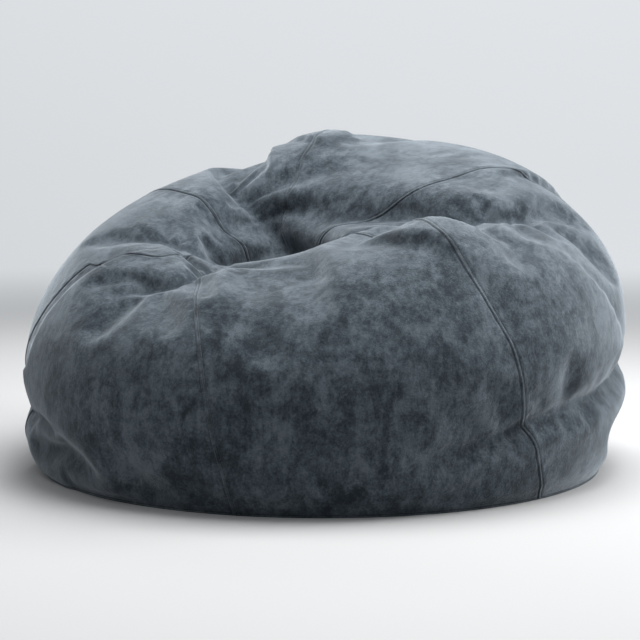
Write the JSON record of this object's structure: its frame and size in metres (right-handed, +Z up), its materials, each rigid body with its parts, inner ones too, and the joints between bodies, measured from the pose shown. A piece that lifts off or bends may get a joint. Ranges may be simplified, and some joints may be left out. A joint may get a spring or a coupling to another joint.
{
  "type": "bean bag chair",
  "caption": "Large round foam-filled floor seat: a gored fabric cover with a zip, over a zipped liner bag, sunk to a seat with a raised back.",
  "frame": {"origin": "middle of the bounding box's bottom face, on the floor", "axes": "+Z up, -Y to the front, where the rim is lowest; the seat axis leans 22 degrees from +Z towards -Y"},
  "size_m": [1.524, 1.5081, 0.8421],
  "materials": {
    "cover_fabric": "brushed micro-suede, slate grey-blue",
    "liner_fabric": "plain woven polyester, off-white",
    "foam": "shredded open-cell foam",
    "zip_tape": "herringbone woven polyester",
    "liner_tape": "herringbone woven polyester",
    "zip_coil": "satin nylon",
    "liner_coil": "satin nylon",
    "zip_metal": "gunmetal plate, worn at the edges",
    "label": "woven satin tape"
  },
  "bodies": {
    "bag": {"care_label": "label", "cover_base_panel": "cover_fabric", "cover_panel_back_left": "cover_fabric", "cover_panel_back_right": "cover_fabric", "cover_panel_front_left": "cover_fabric", "cover_panel_front_right": "cover_fabric", "cover_panel_left": "cover_fabric", "cover_panel_right": "cover_fabric", "cover_top_cap": "cover_fabric", "cover_zip_bottom_stop": "zip_metal", "cover_zip_coil_left": "zip_coil", "cover_zip_coil_right": "zip_coil", "cover_zip_tape_left": "zip_tape", "cover_zip_tape_right": "zip_tape", "cover_zip_top_stops": "zip_metal", "foam_fill": "foam", "liner_base_panel": "liner_fabric", "liner_panel_back_left": "liner_fabric", "liner_panel_back_right": "liner_fabric", "liner_panel_front_left": "liner_fabric", "liner_panel_front_right": "liner_fabric", "liner_panel_left": "liner_fabric", "liner_panel_right": "liner_fabric", "liner_top_cap": "liner_fabric", "liner_zip_bottom_stop": "zip_metal", "liner_zip_coil_left": "liner_coil", "liner_zip_coil_right": "liner_coil", "liner_zip_tape_left": "liner_tape", "liner_zip_tape_right": "liner_tape", "liner_zip_top_stops": "zip_metal"},
    "cover_slider": {"cover_zip_slider": "zip_metal"},
    "cover_pull": {"cover_zip_pull": "zip_metal"},
    "liner_slider": {"liner_zip_slider": "zip_metal"}
  },
  "joints": [
    {"name": "cover_zip_travel", "type": "hinge", "parent": "bag", "child": "cover_slider", "pos_m": [0, -0.00783, 0.3], "axis": [0.9925, 0.113, 0.0457], "range_deg": [-44.5, 0]},
    {"name": "cover_zip_pull_swing", "type": "hinge", "parent": "cover_slider", "child": "cover_pull", "pos_m": [-0.09313, 0.67432, 0.63646], "axis": [0.9925, 0.113, 0.0457], "range_deg": [0, 165]},
    {"name": "liner_zip_travel", "type": "hinge", "parent": "bag", "child": "liner_slider", "pos_m": [0, -0.00783, 0.3], "axis": [0.6018, -0.7405, -0.2992], "range_deg": [-36.7, 0]}
  ]
}
